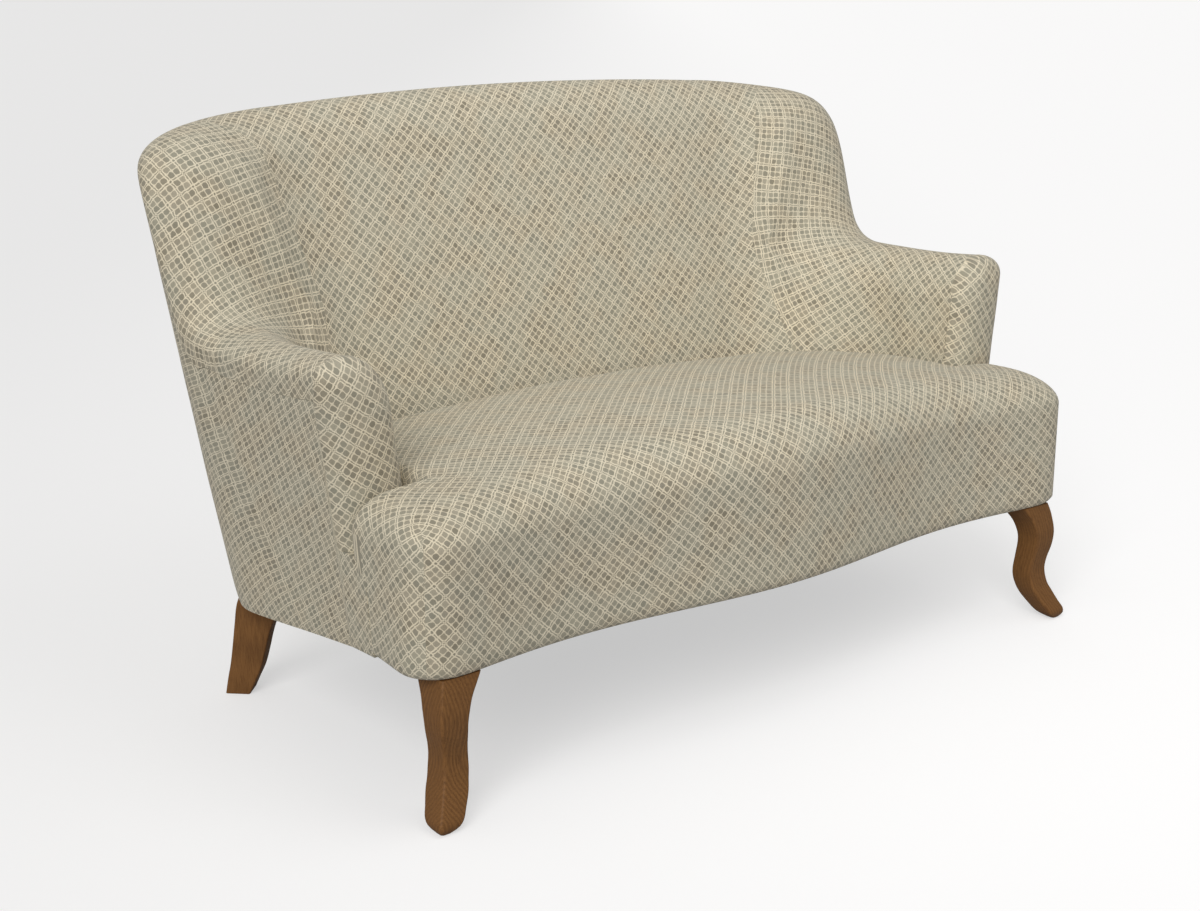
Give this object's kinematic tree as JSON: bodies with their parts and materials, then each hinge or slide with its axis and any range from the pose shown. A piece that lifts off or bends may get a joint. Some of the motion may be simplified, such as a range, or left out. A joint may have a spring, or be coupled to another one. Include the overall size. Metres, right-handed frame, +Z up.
{
  "type": "cabriole sofa",
  "caption": "Small traditional sofa with a high back that sweeps down round the corners into low padded arms, a tight seat with a serpentine front, and short shaped wooden legs.",
  "frame": {"origin": "on the floor, midway between the two sides and midway between the front and the back of the whole sofa to within 5 mm", "axes": "+X to the sofa's left-hand arm as a sitter has it, which is the right as seen from the front; +Y from the front to the back; +Z up"},
  "size_m": [1.374, 0.758, 0.869],
  "materials": {
    "cover_fabric": "woven, matt, cream and taupe diamond trellis",
    "leg_wood": "brown oak stain, satin",
    "frame_wood": "raw hardwood",
    "dowel_wood": "raw beech",
    "steel": "zinc plated",
    "spring_steel": "dark drawn wire",
    "platform_cloth": "plain woven",
    "felt": "needled felt",
    "webbing": "jute webbing",
    "dust_cloth": "black non-woven"
  },
  "bodies": {
    "root": {"front_left_leg": "leg_wood", "front_right_leg": "leg_wood", "rear_left_leg": "leg_wood", "rear_right_leg": "leg_wood", "leg_bolts": "steel", "leg_plates": "steel", "front_rail": "frame_wood", "rear_rail": "frame_wood", "left_side_rail": "frame_wood", "right_side_rail": "frame_wood", "seat_stretcher": "frame_wood", "front_left_block": "frame_wood", "front_right_block": "frame_wood", "rear_left_block": "frame_wood", "rear_right_block": "frame_wood", "block_screws": "steel", "left_arm_post": "frame_wood", "right_arm_post": "frame_wood", "left_wing_post": "frame_wood", "right_wing_post": "frame_wood", "left_arm_rail": "frame_wood", "right_arm_rail": "frame_wood", "left_arm_tack_rail": "frame_wood", "right_arm_tack_rail": "frame_wood", "left_back_post": "frame_wood", "centre_back_post": "frame_wood", "right_back_post": "frame_wood", "left_back_tack_rail": "frame_wood", "right_back_tack_rail": "frame_wood", "top_rail": "frame_wood", "left_wing_rail": "frame_wood", "right_wing_rail": "frame_wood", "left_wing_stile": "frame_wood", "right_wing_stile": "frame_wood", "frame_dowels": "dowel_wood", "seat_springs": "spring_steel", "spring_clips": "steel", "platform_cloth": "platform_cloth", "platform_felt": "felt", "back_webbing": "webbing", "seat_pad": "cover_fabric", "front_border_pad": "cover_fabric", "inside_back_pad": "cover_fabric", "left_arm_pad": "cover_fabric", "right_arm_pad": "cover_fabric", "left_arm_facing": "cover_fabric", "right_arm_facing": "cover_fabric", "outside_back_cover": "cover_fabric", "left_outside_arm_cover": "cover_fabric", "right_outside_arm_cover": "cover_fabric", "dust_cover": "dust_cloth"}
  },
  "joints": []
}
